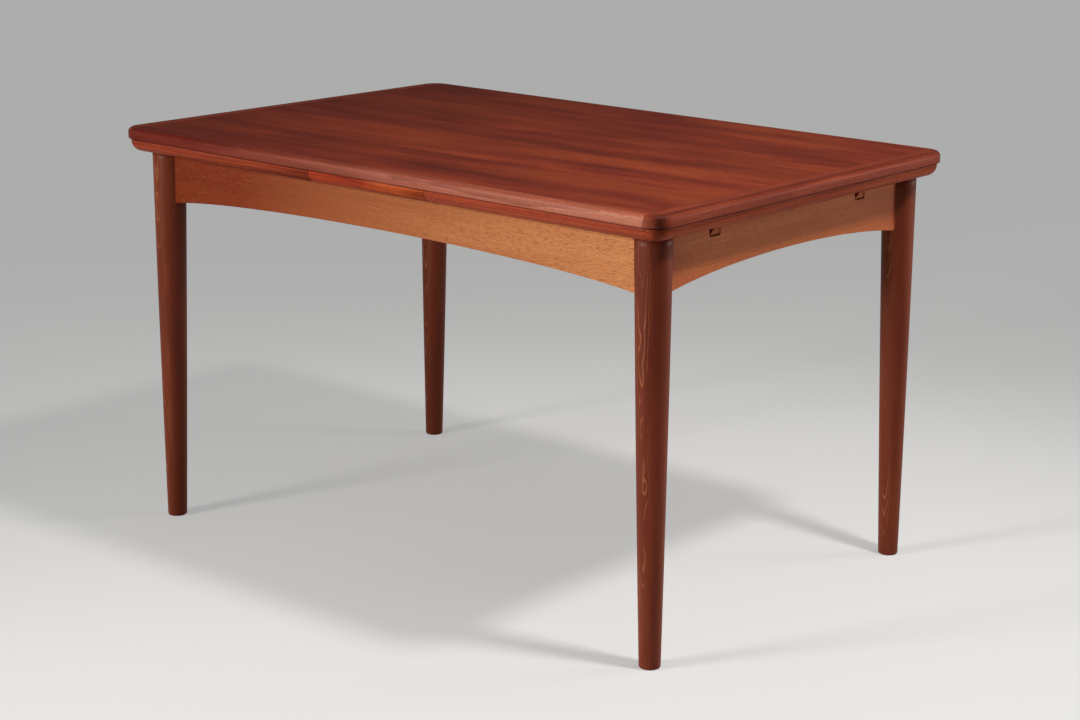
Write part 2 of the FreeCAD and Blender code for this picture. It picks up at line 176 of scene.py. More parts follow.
def corner_shade_and_grime(tree, place, colour, shade_and_grime):
    """A colour darkened at a board's corners and, where a share is given, by a line along its ends. The
    corner darkening is painted shade on the rounded corners, together with grime from handling.
    """
    shade_and_grime_tone, end_x, side_y, line_share = shade_and_grime
    corner_start, corner_full, line_start = -0.030, -0.012, -0.020
    past_end = figure(tree, "SUBTRACT", size_of(tree, place["Object"], "X"), end_x)
    past_side = figure(tree, "SUBTRACT", size_of(tree, place["Object"], "Y"), side_y)
    corner_share = spread(tree, figure(tree, "MINIMUM", past_end, past_side), corner_start, corner_full)
    colour = blend(tree, "MULTIPLY", corner_share, colour, shade_and_grime_tone)
    if line_share:
        end_line = ramp(tree, spread(tree, past_end, line_start, 0.0), [
            (0.30, grey(0.0)), (0.55, grey(line_share)), (0.70, grey(line_share)), (0.90, grey(0.0)),
        ])
        colour = blend(tree, "MULTIPLY", end_line, colour, shade_and_grime_tone)
    return colour


def wood(
    name, grain, dark, middle, light, pore, streak=(1.6, 24.0), mix=(0.46, 0.34, 0.20), contrast=0.20,
    pores=(130.0, 800.0, 0.35), ring=(0.006, 0.03, -0.62, 0.012, 4.5), hairline=None, sheet=None, patch=None,
    darkening_along_x=None, upward_painted_shade=None, joint=None, shade_and_grime=None, end_tone=(0.80, 0.75, 0.75, 1.0), rough=(0.40, 0.55),
    gloss=0.14, relief=0.3,
):
    """Oiled wood: broad and fine streaks along the grain, growth rings round a pith line, and short pores."""
    streak_along, streak_across = streak
    broad_share, fine_share, ring_share = mix
    pore_along, pore_across, pore_share = pores
    ring_width, pith_across, pith_up, wander, wander_rate = ring
    joint_half, joint_tone = 0.0007, (0.38, 0.32, 0.32, 1.0)
    relief_depth = 0.0004
    finish, tree, shader = new_finish(name)
    shader["Specular IOR Level"].default_value = gloss
    place = node_in(tree, "ShaderNodeTexCoord").outputs
    grain_turn = {"X": (0.0, 0.0, 0.0), "Y": (0.0, 0.0, -math.pi / 2), "Z": (0.0, math.pi / 2, 0.0)}[grain]
    along = node_in(tree, "ShaderNodeMapping", (
        ("Vector", place["Object"]), ("Rotation", grain_turn),
    )).outputs["Vector"]
    if sheet:
        along, sheet_chance = sheets_of(tree, along, sheet)
    sway = speckle(tree, along, wander_rate, 2.4 * wander_rate, 2.0)["Color"]
    drift = node_in(tree, "ShaderNodeVectorMath", (
        (0, sway), (1, (0.0, wander, wander)), (2, along),
    ), operation="MULTIPLY_ADD").outputs["Vector"]
    heart = node_in(tree, "ShaderNodeMapping", (
        ("Vector", drift), ("Location", (0.0, pith_across, pith_up)),
    ))
    # At a scale of 1, the wave texture's rings lie pi / 10 apart.
    rings = node_in(tree, "ShaderNodeTexWave", (
        ("Vector", heart.outputs["Vector"]), ("Scale", math.pi / 10 / ring_width),
    ), wave_type="RINGS", rings_direction="X", wave_profile="SAW").outputs["Fac"]
    broad = speckle(tree, drift, streak_along, streak_across, 3.0)["Fac"]
    fine = speckle(tree, drift, streak_along * 2.2, streak_across * 7.0, 3.0)["Fac"]
    value = 0.0
    for source, share in ((broad, broad_share), (fine, fine_share), (rings, ring_share)):
        value = figure(tree, "MULTIPLY_ADD", source, share, value)
    colour = ramp(tree, value, [(0.5 - contrast, dark), (0.5, middle), (0.5 + contrast, light)])
    if patch:
        patch_tone, patch_share = patch
        cloud = speckle(tree, drift, 2.2, 7.0, 2.0)["Fac"]
        patch_here = ramp(tree, cloud, [(0.44, grey(0.0)), (0.66, grey(patch_share))])
        colour = blend(tree, "MIX", patch_here, colour, patch_tone)
    if sheet:
        sheet_tone = ramp(tree, sheet_chance, [(0.0, grey(0.3)), (1.0, grey(0.7))])
        colour = blend(tree, "OVERLAY", 0.18, colour, sheet_tone)
    # Where given, the colour is multiplied by a tone that grows in along X. On the top's veneer and its long
    # lippings this is painted light falloff towards the left end; on the side rails it is painted falloff
    # together with a redder tone of the wood.
    if darkening_along_x:
        darkening_tone, plain_x, darkest_x = darkening_along_x
        darkening_here = spread(tree, part_of(tree, place["Object"], "X"), plain_x, darkest_x)
        colour = blend(tree, "MULTIPLY", darkening_here, colour, darkening_tone)
    # Faces that look upwards are darkened: painted shade, as from a low lamp that lights the vertical faces
    # more than the upper ones.
    if upward_painted_shade:
        upward_shade_share = ramp(tree, part_of(tree, place["Normal"], "Z"), [(0.30, grey(0.0)), (0.80, grey(1.0))])
        colour = blend(tree, "MULTIPLY", upward_shade_share, colour, upward_painted_shade)
    if hairline:
        colour = blend(tree, "MIX", pale_lines(tree, place, rings, drift), colour, hairline)
    flecks = speckle(tree, drift, pore_along, pore_across, 1.0)["Fac"]
    pore_here = ramp(tree, flecks, [(0.52, grey(0.0)), (0.66, grey(pore_share))])
    colour = blend(tree, "MIX", pore_here, colour, pore)
    end_grain = ramp(tree, size_of(tree, place["Normal"], grain), [(0.60, grey(0.0)), (0.97, grey(1.0))])
    colour = blend(tree, "MULTIPLY", end_grain, colour, end_tone)
    if joint:
        joint_here = figure(tree, "COMPARE", size_of(tree, place["Object"], "X"), joint, joint_half)
        colour = blend(tree, "MULTIPLY", joint_here, colour, joint_tone)
    # Painted corner shade with handling grime, and a dark line along the ends where a share is given.
    if shade_and_grime:
        colour = corner_shade_and_grime(tree, place, colour, shade_and_grime)
    tree.links.new(colour, shader["Base Color"])
    tree.links.new(spread(tree, fine, 0.0, 1.0, *rough), shader["Roughness"])
    open_pores = ramp(tree, flecks, [(0.52, grey(1.0)), (0.68, grey(0.3))])
    raised_grain = ramp(tree, fine, [(0.2, grey(0.75)), (0.8, grey(1.0))])
    bump = node_in(tree, "ShaderNodeBump", (
        ("Strength", relief), ("Distance", relief_depth),
        ("Height", blend(tree, "MULTIPLY", 1.0, open_pores, raised_grain)),
    ))
    tree.links.new(bump.outputs["Normal"], shader["Normal"])
    return finish


def linked_piece(name, mesh, finish):
    """A piece at the origin from a mesh that holds its place."""
    mesh.materials.append(finish)
    piece = bpy.data.objects.new(name, mesh)
    bpy.context.collection.objects.link(piece)
    return piece


def grown(name, marks, tree, values, finish):
    """The plain mesh that a tree grows on marks, each mark a point with the way that it aims."""
    seed_mesh = bpy.data.meshes.new(name + "_marks")
    seed_mesh.from_pydata([tuple(mark[0]) for mark in marks], [], [])
    aims = seed_mesh.attributes.new("aim", "FLOAT_VECTOR", "POINT")
    for entry, mark in zip(aims.data, marks):
        entry.vector = mark[1]
    holder = bpy.data.objects.new(name + "_marks", seed_mesh)
    bpy.context.collection.objects.link(holder)
    growth = holder.modifiers.new("growth", "NODES")
    growth.node_group = tree
    for item in tree.interface.items_tree:
        if item.in_out == "INPUT" and item.name in values:
            growth[item.identifier] = values[item.name]
    bpy.context.view_layer.update()
    depsgraph = bpy.context.evaluated_depsgraph_get()
    mesh = bpy.data.meshes.new_from_object(holder.evaluated_get(depsgraph), depsgraph=depsgraph)
    holder.modifiers.remove(growth)
    bpy.data.objects.remove(holder)
    mesh.name = name
    mesh.materials.clear()
    return linked_piece(name, mesh, finish)


def new_tree(name, sizes):
    """A geometry tree that takes marks, some named sizes and a finish, and gives one mesh."""
    tree = bpy.data.node_groups.new(name, "GeometryNodeTree")
    tree.interface.new_socket(name="Marks", in_out="INPUT", socket_type="NodeSocketGeometry")
    for size in sizes:
        tree.interface.new_socket(name=size, in_out="INPUT", socket_type="NodeSocketFloat")
    tree.interface.new_socket(name="Finish", in_out="INPUT", socket_type="NodeSocketMaterial")
    tree.interface.new_socket(name="Pieces", in_out="OUTPUT", socket_type="NodeSocketGeometry")
    return tree, node_in(tree, "NodeGroupInput").outputs


def set_on_marks(tree, given, piece, turn=None):
    """The end of a tree: a piece set on each mark, made real and given its finish."""
    links = [("Points", given["Marks"]), ("Instance", piece)]
    if turn:
        links.append(("Rotation", turn))
    placed = node_in(tree, "GeometryNodeInstanceOnPoints", links)
    made_real = node_in(tree, "GeometryNodeRealizeInstances", (("Geometry", placed.outputs[0]),))
    coated = node_in(tree, "GeometryNodeSetMaterial", (
        ("Geometry", made_real.outputs[0]), ("Material", given["Finish"]),
    ))
    node_in(tree, "NodeGroupOutput", (("Pieces", coated.outputs[0]),))


leg_tree, given = new_tree("turned_legs", (
    "Height", "Top Radius", "Foot Radius", "Swell", "Foot Round", "Lean X", "Lean Y",
))
leg_rings = round_rings + shaft_rings
blank = node_in(leg_tree, "GeometryNodeMeshCylinder", (
    ("Vertices", leg_sides), ("Side Segments", leg_rings), ("Radius", 1.0), ("Depth", 1.0),
), fill_type="NGON").outputs
blank_place = node_in(leg_tree, "ShaderNodeSeparateXYZ", (
    ("Vector", node_in(leg_tree, "GeometryNodeInputPosition").outputs[0]),
)).outputs
ring_number = figure(leg_tree, "MULTIPLY", figure(leg_tree, "ADD", blank_place["Z"], 0.5), leg_rings)
round_ring = figure(leg_tree, "MINIMUM", ring_number, round_rings)
round_turn = figure(leg_tree, "MULTIPLY", round_ring, math.pi / 2 / round_rings)
round_rise = figure(leg_tree, "SUBTRACT", 1.0, figure(leg_tree, "COSINE", round_turn))
round_cut = figure(leg_tree, "SUBTRACT", figure(leg_tree, "SINE", round_turn), 1.0)
shaft_ring = figure(leg_tree, "MAXIMUM", figure(leg_tree, "SUBTRACT", ring_number, round_rings), 0.0)
shaft_share = figure(leg_tree, "DIVIDE", shaft_ring, shaft_rings)
shaft_span = figure(leg_tree, "SUBTRACT", given["Height"], given["Foot Round"])
foot_height = figure(leg_tree, "MULTIPLY", given["Foot Round"], round_rise)
ring_height = figure(leg_tree, "MULTIPLY_ADD", shaft_share, shaft_span, foot_height)
height_share = figure(leg_tree, "DIVIDE", ring_height, given["Height"])
taper = figure(leg_tree, "SUBTRACT", given["Top Radius"], given["Foot Radius"])
straight_radius = figure(leg_tree, "MULTIPLY_ADD", height_share, taper, given["Foot Radius"])
bulge = figure(leg_tree, "MULTIPLY", height_share, figure(leg_tree, "SUBTRACT", 1.0, height_share))
swell_here = figure(leg_tree, "MULTIPLY", bulge, figure(leg_tree, "MULTIPLY", given["Swell"], 4.0))
full_radius = figure(leg_tree, "ADD", straight_radius, swell_here)
ring_radius = figure(leg_tree, "MULTIPLY_ADD", round_cut, given["Foot Round"], full_radius)
turned_x, turned_y = (
    figure(leg_tree, "MULTIPLY_ADD", blank_place[axis], ring_radius,
           figure(leg_tree, "MULTIPLY", given["Lean " + axis], height_share))
    for axis in ("X", "Y")
)
turned_place = node_in(leg_tree, "ShaderNodeCombineXYZ", (
    ("X", turned_x), ("Y", turned_y), ("Z", ring_height),
))
turned = node_in(leg_tree, "GeometryNodeSetPosition", (
    ("Geometry", blank["Mesh"]), ("Position", turned_place.outputs[0]),
))
flat_ends = node_in(leg_tree, "GeometryNodeSetShadeSmooth", (
    ("Geometry", turned.outputs[0]), ("Shade Smooth", False),
))
sanded = node_in(leg_tree, "GeometryNodeSetShadeSmooth", (
    ("Geometry", flat_ends.outputs[0]), ("Selection", blank["Side"]), ("Shade Smooth", True),
))
set_on_marks(leg_tree, given, sanded.outputs[0])

for corner, side_x, side_y in (
    ("front_right", 1, -1), ("front_left", -1, -1), ("back_right", 1, 1), ("back_left", -1, 1),
):
    leg_stain = wood(
        "leg_stain_" + corner, "Z", tone(88, 33, 17), tone(108, 45, 24), tone(127, 59, 32), tone(63, 24, 13),
        streak=(3.0, 26.0), contrast=0.30, mix=(0.86, 0.12, 0.02), pores=(120.0, 900.0, 0.22),
        ring=(0.0013, -side_y * leg_axis_y - pith_offset, side_x * leg_axis_x, 0.005, 14.0),
        hairline=tone(196, 128, 84), rough=(0.40, 0.52), relief=0.1,
    )
    foot = Vector((side_x * (leg_axis_x + leg_lean_x), side_y * (leg_axis_y + leg_lean_y), 0.0))
    leg = grown("turned_leg_" + corner, [(foot, Vector((0, 0, 1)))], leg_tree, {
        "Height": leg_top_z, "Top Radius": leg_top_radius, "Foot Radius": leg_foot_radius, "Swell": leg_swell,
        "Foot Round": foot_round, "Lean X": -side_x * leg_lean_x, "Lean Y": -side_y * leg_lean_y,
        "Finish": leg_stain,
    }, leg_stain)
    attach(leg, "frame")
    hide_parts("leg_" + corner)

# The four rails are sawn from a lighter, open-pored wood, with their lower edges cut to a shallow arch.
# They are tenoned into the legs, and the end rails are notched along the top where the leaves' runners pass.
rail_low_z, rail_top_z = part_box("side_rail_front")[0][2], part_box("side_rail_front")[1][2]
rail_half = 0.011
rail_arris = 0.0011
rail_end_back = 0.020
arch_rise = 0.022
side_arch_share, end_arch_share = 0.922, 0.765
notch_floor_z = rail_top_z - 0.0215
notch_lean = 0.0025
notch_near_play, notch_far_play = 0.0008, 0.0004
rail_grain = dict(streak=(2.0, 45.0), contrast=0.24, mix=(0.45, 0.40, 0.15), rough=(0.48, 0.62))


def arched_edge(half_span, span_share, reach):
    """The lower edge of a rail from one leg to the other: an elliptical arch between straight ends."""
    arch_steps = 96
    half_axis = half_span / span_share
    height = arch_rise / (1 - math.sqrt(1 - span_share ** 2))
    points = [(-reach, rail_low_z)]
    for i in range(arch_steps + 1):
        u = -half_span + 2 * half_span * i / arch_steps
        drop = height * (1 - math.sqrt(1 - (u / half_axis) ** 2))
        points.append((u, rail_low_z + arch_rise - drop))
    return points + [(reach, rail_low_z)]


def piece_from(name, shape, finish):
    """A finished piece at the origin from a bmesh that holds its place."""
    mesh = bpy.data.meshes.new(name)
    shape.to_mesh(mesh)
    shape.free()
    return linked_piece(name, mesh, finish)


def sawn_rail(name, outline, place, finish):
    """A rail sawn to a flat outline, with every sharp edge eased."""
    sharp_angle = math.radians(30)
    shape = bmesh.new()
    face = shape.faces.new([shape.verts.new(place(u, z, -rail_half)) for u, z in outline])
    grown_back = bmesh.ops.extrude_face_region(shape, geom=[face])["geom"]
    step = place(0, 0, rail_half) - place(0, 0, -rail_half)
    back_corners = [item for item in grown_back if isinstance(item, bmesh.types.BMVert)]
    bmesh.ops.translate(shape, verts=back_corners, vec=step)
    bmesh.ops.recalc_face_normals(shape, faces=shape.faces)
    sharp = [e for e in shape.edges if len(e.link_faces) == 2 and e.calc_face_angle() > sharp_angle]
    bmesh.ops.bevel(
        shape, geom=sharp, offset=rail_arris, segments=3, profile=0.5, affect="EDGES", clamp_overlap=True,
    )
    return piece_from(name, shape, finish)


for face_name, side_y in (("front", -1), ("back", 1)):
    rail_y = side_y * leg_axis_y
    rail_reach = leg_axis_x - rail_end_back
    outline = arched_edge(leg_axis_x - leg_top_radius, side_arch_share, rail_reach)
    outline += [(rail_reach, rail_top_z), (-rail_reach, rail_top_z)]
    # The rail darkens and reddens towards its left end: partly the wood's own tone, partly painted light
    # falloff from the front lamp.
    rail_oil = wood(
        "rail_oil_" + face_name, "X", tone(178, 106, 58), tone(198, 129, 77), tone(212, 146, 92),
        tone(128, 68, 34), pores=(90.0, 1100.0, 0.72), ring=(0.004, -rail_y + 0.02, -0.75, 0.012, 4.5),
        darkening_along_x=(tone(150, 83, 24), 0.58, -0.36), **rail_grain,
    )
    rail = sawn_rail(
        "arched_side_rail_" + face_name, outline, lambda u, z, t: Vector((u, rail_y + t, z)), rail_oil,
    )
    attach(rail, "frame")
    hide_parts("side_rail_" + face_name)

for side_name, side_x in (("left", -1), ("right", 1)):
    rail_x = side_x * leg_axis_x
    rail_reach = leg_axis_y - rail_end_back
    outline = arched_edge(leg_axis_y - leg_top_radius, end_arch_share, rail_reach)
    outline += [(rail_reach, rail_top_z)]
    for face_name in ("back", "front"):
        runner_low, runner_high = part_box("leaf_" + side_name + "_runner_" + face_name)
        high_y, low_y = runner_high[1] + notch_far_play, runner_low[1] - notch_near_play
        outline += [(high_y, rail_top_z), (high_y, notch_floor_z), (low_y, notch_floor_z)]
        outline += [(low_y - notch_lean, rail_top_z)]
    outline += [(-rail_reach, rail_top_z)]
    rail_oil = wood(
        "rail_oil_" + side_name, "Y", tone(156, 80, 43), tone(180, 97, 52), tone(199, 117, 66),
        tone(116, 57, 29), pores=(90.0, 1300.0, 0.45), ring=(0.004, rail_x + 0.02, -0.75, 0.012, 4.5),
        patch=(tone(154, 74, 44), 0.75), **rail_grain,
    )
    rail = sawn_rail(
        "arched_end_rail_" + side_name, outline, lambda u, z, t: Vector((rail_x + t, u, z)), rail_oil,
    )
    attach(rail, "frame")
    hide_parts("end_rail_" + side_name)

# Beech blocks brace the four corners inside the rails, and two slotted beech bearers cross the table.
# They are planed and left bare, glued and screwed where nobody sees them.
beech_grain = dict(streak=(3.0, 60.0), pores=(240.0, 700.0, 0.5))
block_beech = wood(
    "block_beech", "X", tone(176, 130, 88), tone(198, 154, 108), tone(214, 176, 132), tone(150, 104, 66),
    rough=(0.55, 0.70), gloss=0.25, **beech_grain,
)
bearer_beech = wood(
    "bearer_beech", "Y", tone(172, 126, 84), tone(194, 150, 104), tone(212, 172, 128), tone(146, 100, 62),
    rough=(0.55, 0.70), gloss=0.25, **beech_grain,
)
for corner in ("front_left", "front_right", "back_left", "back_right"):
    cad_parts["corner_block_" + corner].material_slots[0].material = block_beech
for side_name in ("left", "right"):
    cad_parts["cross_bearer_" + side_name].material_slots[0].material = bearer_beech

# Slotted countersunk steel screws hold the corner blocks, the middle board and the runners.
# Each head lies flush in its countersink, with its slot turned wherever the last twist left it.
screw_head_radius = 0.004
screw_head_height = 0.0028
screw_shank_radius = 0.002
screw_tip_radius = 0.0004
screw_slot_width, screw_slot_depth = 0.0011, 0.0011
screw_twist_seed = 7
same_point = 0.00001


def islands(node):
    """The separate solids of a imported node, each as a list of its points."""
    shape = bmesh.new()
    shape.from_mesh(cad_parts[node].data)
    bmesh.ops.remove_doubles(shape, verts=shape.verts, dist=same_point)
    left = set(shape.verts)
    groups = []
    while left:
        reached = [left.pop()]
        group = []
        while reached:
            vert = reached.pop()
            group.append(vert.co.copy())
            for edge in vert.link_edges:
                other = edge.other_vert(vert)
                if other in left:
                    left.remove(other)
                    reached.append(other)
        groups.append(group)
    shape.free()
    return sorted(groups, key=lambda group: tuple(round(v, 4) for v in sum(group, Vector()) / len(group)))


def reach_of(points):
    """The lowest and highest corners of some points, and the axis along which they reach farthest."""
    low = Vector([min(p[i] for p in points) for i in range(3)])
    high = Vector([max(p[i] for p in points) for i in range(3)])
    return low, high, max(range(3), key=lambda i: high[i] - low[i])


def screw_marks(node):
    """Where each screw's head lies, which way it points, and how long it is."""
    end_slice = 0.0002
    marks = []
    for points in islands(node):
        low, high, axis = reach_of(points)
        across = (axis + 1) % 3
        centre = (low + high) / 2
        near = [abs(p[across] - centre[across]) for p in points if p[axis] < low[axis] + end_slice]
        heads_low = max(near) > screw_shank_radius * 1.2
        aim = Vector((0, 0, 0))
        aim[axis] = 1.0 if heads_low else -1.0
        head = centre.copy()
        head[axis] = low[axis] if heads_low else high[axis]
        marks.append((head, aim, high[axis] - low[axis]))
    return marks


def mottle(tree, scale, detail):
    """Fine even noise for a finish that has no grain."""
    place = node_in(tree, "ShaderNodeTexCoord").outputs["Object"]
    return node_in(tree, "ShaderNodeTexNoise", (
        ("Vector", place), ("Scale", scale), ("Detail", detail),
    )).outputs["Fac"]


screw_steel, steel_tree, steel_shader = new_finish("screw_steel_dull")
steel_shader["Metallic"].default_value = 1.0
steel_mottle = mottle(steel_tree, 420.0, 3.0)
steel_colour = ramp(steel_tree, steel_mottle, [
    (0.3, tone(120, 112, 102)), (0.55, tone(168, 163, 156)), (0.8, tone(186, 182, 176)),
])
steel_tree.links.new(steel_colour, steel_shader["Base Color"])
steel_tree.links.new(spread(steel_tree, steel_mottle, 0.0, 1.0, 0.55, 0.30), steel_shader["Roughness"])


def aimed(tree):
    """The turn that brings a piece's length to the way that its mark aims."""
    aim = node_in(tree, "GeometryNodeInputNamedAttribute", (("Name", "aim"),), data_type="FLOAT_VECTOR")
    return node_in(tree, "FunctionNodeAlignRotationToVector", (
        ("Vector", aim.outputs["Attribute"]),
    ), axis="Z").outputs[0]


def raised(tree, mesh, height):
    """A mesh lifted by a height."""
    lift = node_in(tree, "ShaderNodeCombineXYZ", (("Z", height),))
    return node_in(tree, "GeometryNodeTransform", (
        ("Geometry", mesh), ("Translation", lift.outputs[0]),
    )).outputs[0]


def joined(tree, meshes):
    """Some meshes as one."""
    join = node_in(tree, "GeometryNodeJoinGeometry")
    for mesh in meshes:
        tree.links.new(mesh, join.inputs[0])
    return join.outputs[0]


screw_tree, given = new_tree("slotted_screws", (
    "Head Radius", "Head Height", "Shank Radius", "Shank Length", "Slot Width", "Slot Depth",
))
head_cone = node_in(screw_tree, "GeometryNodeMeshCone", (
    ("Vertices", 36), ("Radius Top", given["Shank Radius"]), ("Radius Bottom", given["Head Radius"]),
    ("Depth", given["Head Height"]),
), fill_type="NGON")
slot_size = node_in(screw_tree, "ShaderNodeCombineXYZ", (
    ("X", figure(screw_tree, "MULTIPLY", given["Head Radius"], 2.4)), ("Y", given["Slot Width"]),
    ("Z", figure(screw_tree, "MULTIPLY", given["Slot Depth"], 2.0)),
))
slot_bar = node_in(screw_tree, "GeometryNodeMeshCube", (("Size", slot_size.outputs[0]),))
slotted = node_in(screw_tree, "GeometryNodeMeshBoolean", (
    ("Mesh 1", head_cone.outputs["Mesh"]), ("Mesh 2", slot_bar.outputs["Mesh"]),
), operation="DIFFERENCE")
shank = node_in(screw_tree, "GeometryNodeMeshCone", (
    ("Vertices", 16), ("Radius Top", screw_tip_radius), ("Radius Bottom", given["Shank Radius"]),
    ("Depth", given["Shank Length"]),
), fill_type="NGON")
shank_placed = raised(screw_tree, shank.outputs["Mesh"], given["Head Height"])
whole_screw = joined(screw_tree, (slotted.outputs["Mesh"], shank_placed))
twist = node_in(screw_tree, "FunctionNodeRandomValue", data_type="FLOAT")
for socket in twist.inputs:
    if socket.name == "Max" and socket.type == "VALUE" and socket.enabled:
        socket.default_value = math.pi
    if socket.name == "Seed":
        socket.default_value = screw_twist_seed
twist_angle = next(socket for socket in twist.outputs if socket.type == "VALUE" and socket.enabled)
twist_turn = node_in(screw_tree, "FunctionNodeAxisAngleToRotation", (
    ("Axis", (0.0, 0.0, 1.0)), ("Angle", twist_angle),
))
facing = node_in(screw_tree, "FunctionNodeRotateRotation", (
    ("Rotation", aimed(screw_tree)), ("Rotate By", twist_turn.outputs[0]),
), rotation_space="LOCAL")
set_on_marks(screw_tree, given, whole_screw, facing.outputs[0])

for node, body in (
    ("corner_block_screws", "frame"), ("middle_board_screws", "frame"),
    ("leaf_left_runner_screws", "leaf_left"), ("leaf_right_runner_screws", "leaf_right"),
):
    marks = screw_marks(node)
    screws = grown("slotted_" + node, marks, screw_tree, {
        "Head Radius": screw_head_radius, "Head Height": screw_head_height,
        "Shank Radius": screw_shank_radius, "Shank Length": marks[0][2] - screw_head_height,
        "Slot Width": screw_slot_width, "Slot Depth": screw_slot_depth, "Finish": screw_steel,
    }, screw_steel)
    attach(screws, body)
    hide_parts(node)

# The leaves, the middle board between them and the loose top are veneered panels with solid lippings.
# The lippings are glued round the panels and worked to a round edge, below on the leaves, above on the top.
board_half_width = cad_box[1][1]
board_half_length = cad_box[1][0]
end_lip = 0.030
lip_x = board_half_length - end_lip
leaf_low_z, leaf_high_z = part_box("leaf_right_panel")[0][2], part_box("leaf_right_panel")[1][2]
leaf_half_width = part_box("leaf_right_front_lipping")[0][1] * -1
leaf_inner_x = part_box("leaf_right_panel")[0][0]
leaf_end_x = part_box("leaf_right_end_lipping")[1][0]
leaf_lip_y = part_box("leaf_right_panel")[1][1]
middle_low_x, middle_high_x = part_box("middle_board_panel")[0][0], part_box("middle_board_panel")[1][0]
leaf_edge, leaf_ease, leaf_corner = 0.0185, 0.0012, 0.031
# The tone of the painted corner shade and handling grime on the end strips.
corner_shade_and_grime_tone = (0.46, 0.40, 0.40, 1.0)
cross_grain_mix = (0.55, 0.39, 0.06)


def skin_between(shape, loops, smooth=False):
    """Faces between each closed loop of points and the next."""
    count = len(loops[0])
    for lower, upper in zip(loops, loops[1:]):
        for i in range(count):
            j = (i + 1) % count
            shape.faces.new((lower[i], lower[j], upper[j], upper[i])).smooth = smooth


def board_shell(x_ends, half_width, z_ends, rounds, round_above, free_ends):
    """A whole board as stacked outlines, with rounded corners at its free ends only."""
    edge, ease, corner_radius = rounds
    edge_steps, corner_steps = 16, 24
    quarter = [math.pi / 2 * i / edge_steps for i in range(edge_steps + 1)]
    thick = z_ends[1] - z_ends[0]
    profile = [(edge * (1 - math.sin(a)), edge * (1 - math.cos(a))) for a in quarter]
    profile += [(ease * (1 - math.cos(a)), thick - ease + ease * math.sin(a)) for a in quarter[::2]]
    low_end = (x_ends[0], 1, free_ends[0], (1, -1))
    high_end = (x_ends[1], -1, free_ends[1], (-1, 1))
    shape = bmesh.new()
    loops = []
    for inset, rise in profile:
        z = z_ends[1] - rise if round_above else z_ends[0] + rise
        outline = []
        for x_end, inward, free, order in (high_end, low_end):
            for side in order:
                if not free:
                    outline.append(Vector((x_end, side * (half_width - inset), z)))
                    continue
                centre = Vector((x_end + inward * corner_radius, side * (half_width - corner_radius), z))
                start = math.atan2(0, -inward) if side != order[0] else side * math.pi / 2
                reach = corner_radius - inset
                for i in range(corner_steps + 1):
                    angle = start + math.pi / 2 * i / corner_steps
                    outline.append(centre + Vector((reach * math.cos(angle), reach * math.sin(angle), 0.0)))
        loops.append([shape.verts.new(point) for point in outline])
    skin_between(shape, loops)
    shape.faces.new(loops[0])
    shape.faces.new(loops[-1])
    bmesh.ops.recalc_face_normals(shape, faces=shape.faces)
    return shape


def cut_lipping(shell, planes):
    """The part of a board on the inner side of some planes, closed where it was cut."""
    cut_play, flat_share = 0.000001, 0.99999
    shape = shell.copy()
    for point, outward in planes:
        geometry = shape.verts[:] + shape.edges[:] + shape.faces[:]
        cut = bmesh.ops.bisect_plane(
            shape, geom=geometry, plane_co=point, plane_no=outward, dist=cut_play, clear_outer=True,
        )
        rim = [item for item in cut["geom_cut"] if isinstance(item, bmesh.types.BMEdge)]
        bmesh.ops.edgenet_fill(shape, edges=rim)
    bmesh.ops.recalc_face_normals(shape, faces=shape.faces)
    for face in shape.faces:
        face.smooth = max(abs(v) for v in face.normal) < flat_share
    return shape


def lipping(name, shell, planes, finish, body, node):
    """One strip of lipping, cut from its board's shell."""
    strip = piece_from(name, cut_lipping(shell, planes), finish)
    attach(strip, body)
    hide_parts(node)


def plane_x(x, outward):
    return Vector((x, 0, 0)), Vector((outward, 0, 0))


def plane_y(y, outward):
    return Vector((0, y, 0)), Vector((0, outward, 0))


leaf_lip_long = wood(
    "leaf_lipping_long_grain", "X", tone(108, 36, 18), tone(143, 55, 29), tone(168, 76, 42), tone(66, 24, 14),
    streak=(5.0, 60.0), contrast=0.24,
)
leaf_lip_cross = wood(
    "leaf_lipping_cross_grain", "Y", tone(120, 46, 26), tone(158, 68, 38), tone(182, 90, 54),
    tone(76, 28, 16), streak=(5.0, 60.0), contrast=0.24, mix=cross_grain_mix, joint=lip_x,
    shade_and_grime=(corner_shade_and_grime_tone, board_half_length, board_half_width, 0.0), end_tone=grey(1.0), gloss=0.06,
)
middle_lip = wood(
    "middle_lipping_grain", "X", tone(146, 55, 21), tone(180, 79, 34), tone(202, 99, 46), tone(88, 34, 18),
    streak=(9.0, 46.0), contrast=0.15, mix=(0.66, 0.18, 0.16), darkening_along_x=(tone(200, 150, 125), 0.08, -0.02),
)
veneer_grain = dict(
    streak=(3.4, 21.0), mix=(0.72, 0.20, 0.08), contrast=0.30, patch=(tone(138, 62, 30), 0.6),
)
leaf_veneer = wood(
    "leaf_veneer", "X", tone(88, 34, 22), tone(120, 51, 33), tone(148, 74, 46), tone(62, 26, 16),
    sheet=0.190, **veneer_grain,
)
leaf_rounds = (leaf_edge, leaf_ease, leaf_corner)
leaf_z = (leaf_low_z, leaf_high_z)
middle_shell = board_shell(
    (middle_low_x, middle_high_x), leaf_half_width, leaf_z, leaf_rounds, False, (False, False),
)
for face_name, side_y in (("front", -1), ("back", 1)):
    lipping(
        "middle_lipping_" + face_name, middle_shell, [plane_y(side_y * leaf_lip_y, -side_y)], middle_lip,
        "frame", "middle_board_lipping_" + face_name,
    )
middle_shell.free()
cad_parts["middle_board_panel"].material_slots[0].material = leaf_veneer

